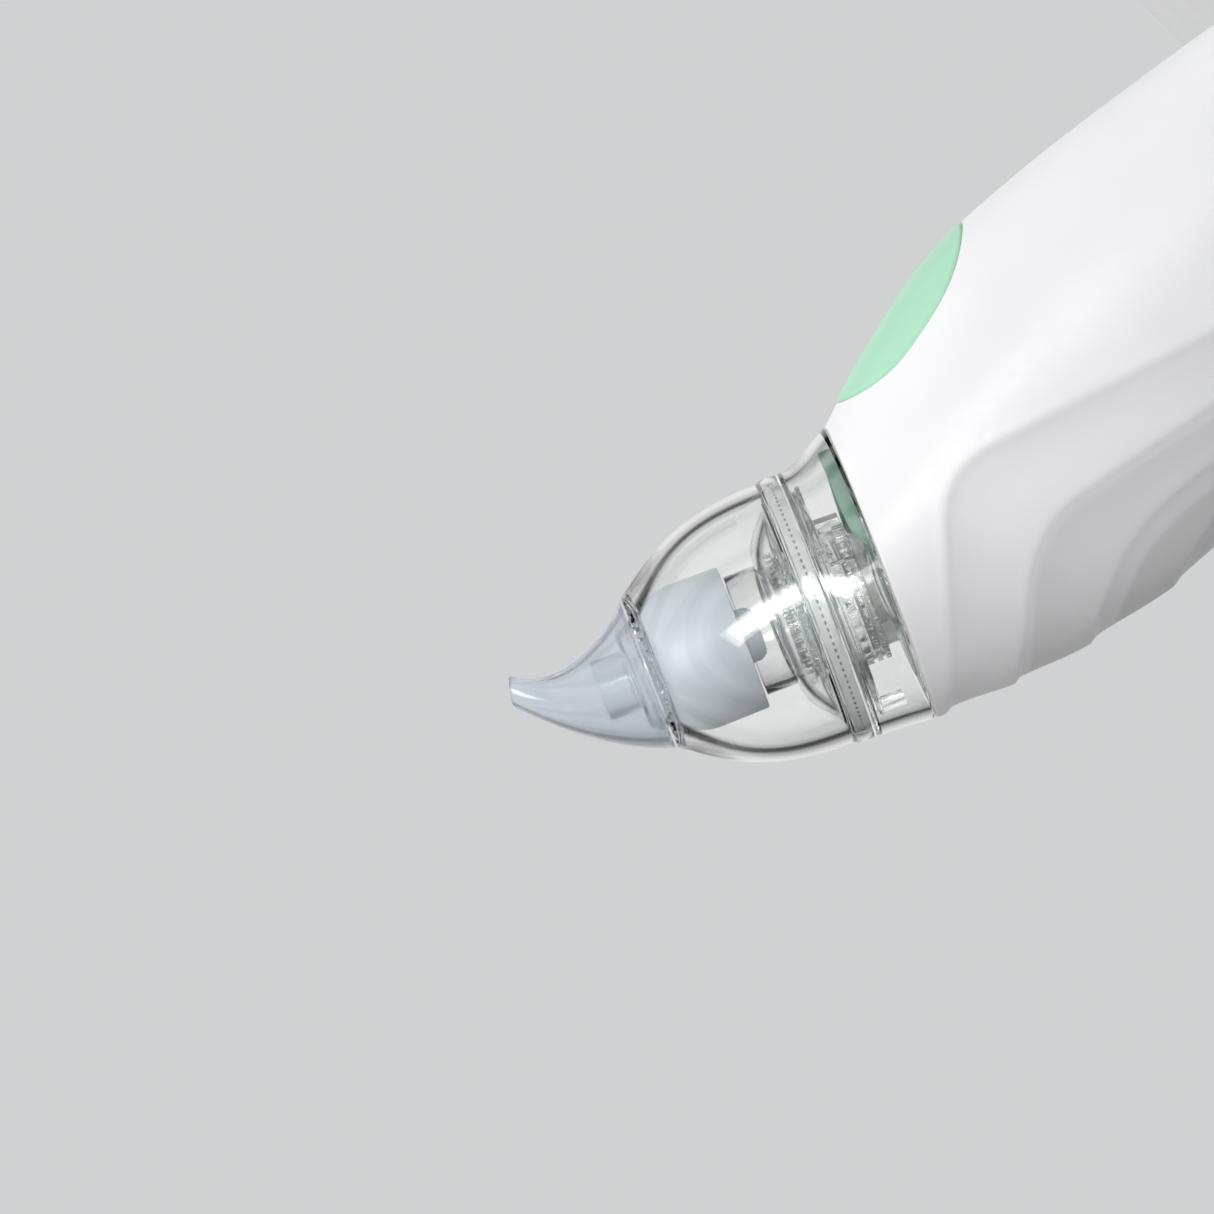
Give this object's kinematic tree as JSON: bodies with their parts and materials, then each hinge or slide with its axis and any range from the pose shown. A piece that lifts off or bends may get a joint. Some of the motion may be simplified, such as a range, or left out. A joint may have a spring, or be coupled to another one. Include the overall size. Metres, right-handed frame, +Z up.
{
  "type": "nasal aspirator",
  "caption": "Upright hand-held electric nasal aspirator: soft beak nozzle, clear collection cup on a flared collar, white handle with stepped grips and a thumb button.",
  "frame": {"origin": "centre of the underside of the foot pad, on the surface the aspirator stands on", "axes": "+Z up the handle towards the head, -Y to the front where the thumb button is and where the head leans, +X across the handle"},
  "size_m": [0.0466, 0.0589, 0.1714],
  "materials": {
    "soft_silicone": "satin translucent silicone, cool grey blue",
    "clear_cup": "clear polished plastic",
    "white_shell": "fine satin moulded plastic, white",
    "mint_plastic": "satin moulded plastic, mint green",
    "filter_foam": "open felt",
    "black_rubber": "matt moulded rubber",
    "circuit_board": "green solder mask",
    "steel_parts": "plain drawn steel",
    "brass_parts": "turned brass",
    "lamp_body": "clear cast body",
    "black_plastic": "moulded, fine grain",
    "frame_plastic": "natural moulded plastic",
    "hose_silicone": "soft hose",
    "cell_wrap": "shrink sleeve",
    "soft_white": "soft moulded cover, white"
  },
  "bodies": {
    "handle": {"moisture_filter": "filter_foam", "neck_plate": "white_shell", "neck_ring": "mint_plastic", "inlet_port": "clear_cup", "port_seal": "soft_silicone", "left_shell": "white_shell", "right_shell": "white_shell", "main_board": "circuit_board", "tact_switch": "steel_parts", "charge_led": "lamp_body", "control_chip": "black_plastic", "motor_can": "steel_parts", "motor_end_cap": "frame_plastic", "pump_case": "black_plastic", "pump_cover": "black_plastic", "pump_membrane": "black_rubber", "valve_plate": "frame_plastic", "pump_head": "black_plastic", "pump_screw_1": "steel_parts", "pump_screw_2": "steel_parts", "pump_screw_3": "steel_parts", "pump_screw_4": "steel_parts", "suction_hose": "hose_silicone", "exhaust_silencer": "filter_foam", "inner_frame": "frame_plastic", "battery_cell": "cell_wrap", "charging_socket": "steel_parts", "charging_board": "circuit_board", "base_cap": "white_shell", "foot_pad": "soft_silicone"},
    "thumb_button": {"thumb_button": "mint_plastic"},
    "head": {"rear_collar": "clear_cup", "umbrella_valve": "soft_silicone", "cup_separator": "clear_cup", "cup_gasket": "soft_silicone", "backflow_stopper": "soft_silicone"},
    "cup": {"collection_cup": "clear_cup"},
    "nozzle": {"nozzle_tip": "soft_silicone"},
    "crank": {"crank_disc": "brass_parts", "motor_shaft": "steel_parts"},
    "pump_rod": {"connecting_rod": "frame_plastic"},
    "port_cover": {"port_cover": "soft_white"}
  },
  "joints": [
    {"name": "button_press", "type": "slide", "parent": "handle", "child": "thumb_button", "axis": [0, 1, 0], "range_m": [0, 0.0008], "stiffness_N_per_m": 700, "springref_m": -0.0006},
    {"name": "head_release", "type": "slide", "parent": "handle", "child": "head", "axis": [0, -0.4067, 0.9135], "range_m": [0, 0.02]},
    {"name": "cup_release", "type": "slide", "parent": "head", "child": "cup", "axis": [0, -0.4067, 0.9135], "range_m": [0, 0.032]},
    {"name": "nozzle_release", "type": "slide", "parent": "cup", "child": "nozzle", "axis": [0, -0.4067, 0.9135], "range_m": [0, 0.008]},
    {"name": "crank_spin", "type": "hinge", "parent": "handle", "child": "crank", "pos_m": [0, -0.0026, 0.0955], "axis": [0, 0, 1], "continuous": true},
    {"name": "rod_stroke", "type": "slide", "parent": "handle", "child": "pump_rod", "axis": [0, 1, 0], "range_m": [-0.0009, 0.0009]},
    {"name": "port_flap", "type": "hinge", "parent": "handle", "child": "port_cover", "pos_m": [0, 0.0232, 0.0279], "axis": [1, 0, 0], "range_deg": [0, 95]}
  ]
}
